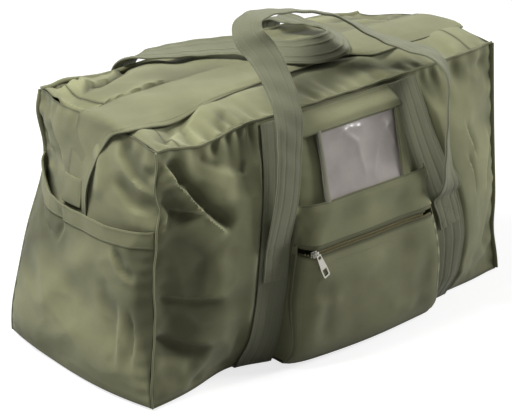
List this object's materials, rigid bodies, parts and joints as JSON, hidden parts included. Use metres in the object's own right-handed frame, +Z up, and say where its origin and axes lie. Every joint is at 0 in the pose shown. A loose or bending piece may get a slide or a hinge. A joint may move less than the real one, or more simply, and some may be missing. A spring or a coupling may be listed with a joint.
{
  "type": "duffel bag",
  "caption": "Canvas holdall with a zipped top under a storm flap, long carrying handles, a zipped bellows pocket with a clear label window, and end slip pockets.",
  "frame": {"origin": "on the ground under the middle of the whole bag's box", "axes": "+X along the bag's length, +Y to the back, away from the zipped pocket, +Z up"},
  "size_m": [0.7768, 0.4344, 0.5195],
  "materials": {
    "canvas": "matt olive cotton canvas",
    "strap_webbing": "folded canvas band, stitched lengthwise",
    "zip_tape": "woven cotton tape",
    "zip_teeth": "dulled",
    "zip_metal": "worn nickel",
    "clear_vinyl": "soft clear sheet, slightly clouded"
  },
  "bodies": {
    "bag": {"base_panel": "canvas", "front_panel": "canvas", "back_panel": "canvas", "pocket_upper_panel": "canvas", "pocket_gusset_left": "canvas", "pocket_gusset_right": "canvas", "pocket_floor": "canvas", "window_band_upper": "canvas", "window_band_lower": "canvas", "window_side_strip": "canvas", "end_panel_left": "canvas", "end_panel_right": "canvas", "end_pocket_left": "canvas", "end_pocket_right": "canvas", "end_pocket_hem_left": "canvas", "end_pocket_hem_right": "canvas", "storm_flap_tail_left": "canvas", "storm_flap_tail_right": "canvas", "end_tab_left": "canvas", "end_tab_right": "canvas", "top_margin_left": "canvas", "top_margin_right": "canvas", "top_back_half": "canvas", "storm_flap": "canvas", "top_seam_front": "canvas", "top_seam_back": "canvas", "corner_seam_front_left": "canvas", "corner_seam_front_right": "canvas", "corner_seam_back_left": "canvas", "corner_seam_back_right": "canvas", "base_strap_left": "strap_webbing", "base_strap_right": "strap_webbing", "strap_front_left": "strap_webbing", "strap_front_right": "strap_webbing", "strap_back_left": "strap_webbing", "strap_back_right": "strap_webbing", "handle_patch_front_left": "strap_webbing", "handle_patch_front_right": "strap_webbing", "handle_patch_back_left": "strap_webbing", "handle_patch_back_right": "strap_webbing", "window_binding": "strap_webbing", "main_zip_tape_back": "zip_tape", "pocket_zip_tape_upper": "zip_tape", "main_zip_chain_back": "zip_teeth", "pocket_zip_chain_upper": "zip_teeth", "window_sheet": "clear_vinyl"},
    "top_front": {"top_front_half": "canvas", "main_zip_tape_front": "zip_tape", "main_zip_chain_front": "zip_teeth"},
    "main_slider": {"main_zip_slider": "zip_metal"},
    "main_pull": {"main_zip_pull": "zip_metal"},
    "pocket_front": {"pocket_lower_panel": "canvas", "pocket_zip_tape_lower": "zip_tape", "pocket_zip_chain_lower": "zip_teeth"},
    "pocket_slider": {"pocket_zip_slider": "zip_metal"},
    "pocket_pull": {"pocket_zip_pull": "zip_metal"},
    "front_handle": {"front_handle": "strap_webbing"},
    "back_handle": {"back_handle": "strap_webbing"}
  },
  "joints": [
    {"name": "front_handle_swing", "type": "hinge", "parent": "bag", "child": "front_handle", "pos_m": [0, -0.1697, 0.2053], "axis": [1, 0, 0], "range_deg": [0, 95]},
    {"name": "back_handle_swing", "type": "hinge", "parent": "bag", "child": "back_handle", "pos_m": [0, 0.2147, 0.2053], "axis": [-1, 0, 0], "range_deg": [0, 150]},
    {"name": "top_front_fold", "type": "hinge", "parent": "bag", "child": "top_front", "pos_m": [0, -0.1277, 0.3995], "axis": [-1, 0, 0], "range_deg": [0, 75]},
    {"name": "main_zip_slide", "type": "slide", "parent": "bag", "child": "main_slider", "axis": [-1, 0, 0], "range_m": [0, 0.654]},
    {"name": "main_pull_lift", "type": "hinge", "parent": "main_slider", "child": "main_pull", "pos_m": [0.327, -0.0225, 0.41485], "axis": [-1, 0, 0], "range_deg": [0, 6]},
    {"name": "pocket_mouth", "type": "hinge", "parent": "bag", "child": "pocket_front", "pos_m": [0, -0.1956, 0.008], "axis": [1, 0, 0], "range_deg": [0, 8]},
    {"name": "pocket_zip_slide", "type": "slide", "parent": "pocket_front", "child": "pocket_slider", "axis": [1, 0, 0], "range_m": [0, 0.23]},
    {"name": "pocket_pull_lift", "type": "hinge", "parent": "pocket_slider", "child": "pocket_pull", "pos_m": [-0.1072, -0.21095, 0.19], "axis": [-0.9063, 0, -0.4226], "range_deg": [0, 100]}
  ]
}
